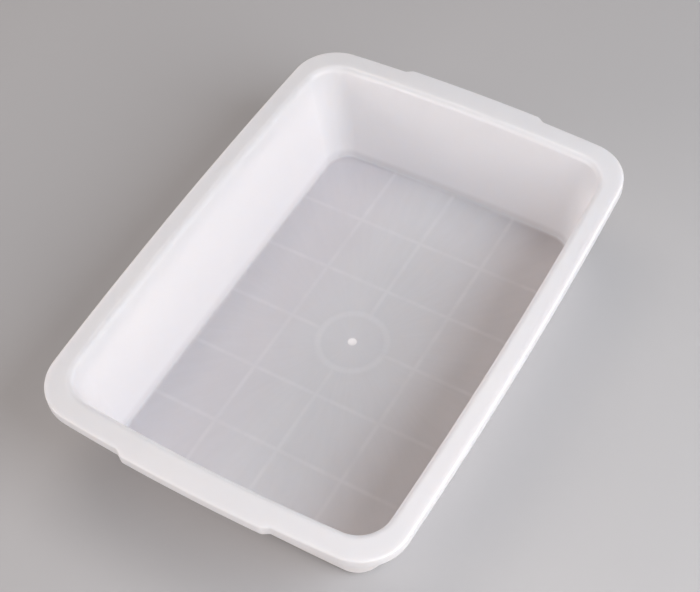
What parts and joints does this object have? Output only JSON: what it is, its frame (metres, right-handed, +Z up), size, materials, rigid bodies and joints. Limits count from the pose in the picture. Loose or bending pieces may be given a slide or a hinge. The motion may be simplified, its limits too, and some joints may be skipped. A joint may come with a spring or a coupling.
{
  "type": "developing tray",
  "caption": "Deep rectangular darkroom tray with bowed sides, a turned-down rim with grip lips and a ribbed floor.",
  "frame": {"origin": "middle of the base, on the plane that the floor ribs stand on", "axes": "+X along the tray to its rear short side, +Y across it to its left long side, +Z up out of the open top"},
  "size_m": [0.374, 0.266, 0.083],
  "materials": {
    "natural_polypropylene": "milky translucent natural white plastic, smooth satin, greyer where it is a single thin sheet"
  },
  "bodies": {
    "root": {"centre_lengthwise_rib": "natural_polypropylene", "cross_rib_1": "natural_polypropylene", "cross_rib_2": "natural_polypropylene", "cross_rib_3": "natural_polypropylene", "cross_rib_4": "natural_polypropylene", "cross_rib_5": "natural_polypropylene", "floor_panel": "natural_polypropylene", "floor_ring": "natural_polypropylene", "front_flange": "natural_polypropylene", "front_grip_lip": "natural_polypropylene", "front_left_corner_flange": "natural_polypropylene", "front_left_corner_skirt": "natural_polypropylene", "front_left_corner_wall": "natural_polypropylene", "front_right_corner_flange": "natural_polypropylene", "front_right_corner_skirt": "natural_polypropylene", "front_right_corner_wall": "natural_polypropylene", "front_skirt": "natural_polypropylene", "front_wall": "natural_polypropylene", "gate_mark": "natural_polypropylene", "left_flange": "natural_polypropylene", "left_lengthwise_rib": "natural_polypropylene", "left_skirt": "natural_polypropylene", "left_wall": "natural_polypropylene", "rear_flange": "natural_polypropylene", "rear_grip_lip": "natural_polypropylene", "rear_left_corner_flange": "natural_polypropylene", "rear_left_corner_skirt": "natural_polypropylene", "rear_left_corner_wall": "natural_polypropylene", "rear_right_corner_flange": "natural_polypropylene", "rear_right_corner_skirt": "natural_polypropylene", "rear_right_corner_wall": "natural_polypropylene", "rear_skirt": "natural_polypropylene", "rear_wall": "natural_polypropylene", "right_flange": "natural_polypropylene", "right_lengthwise_rib": "natural_polypropylene", "right_skirt": "natural_polypropylene", "right_wall": "natural_polypropylene"}
  },
  "joints": []
}
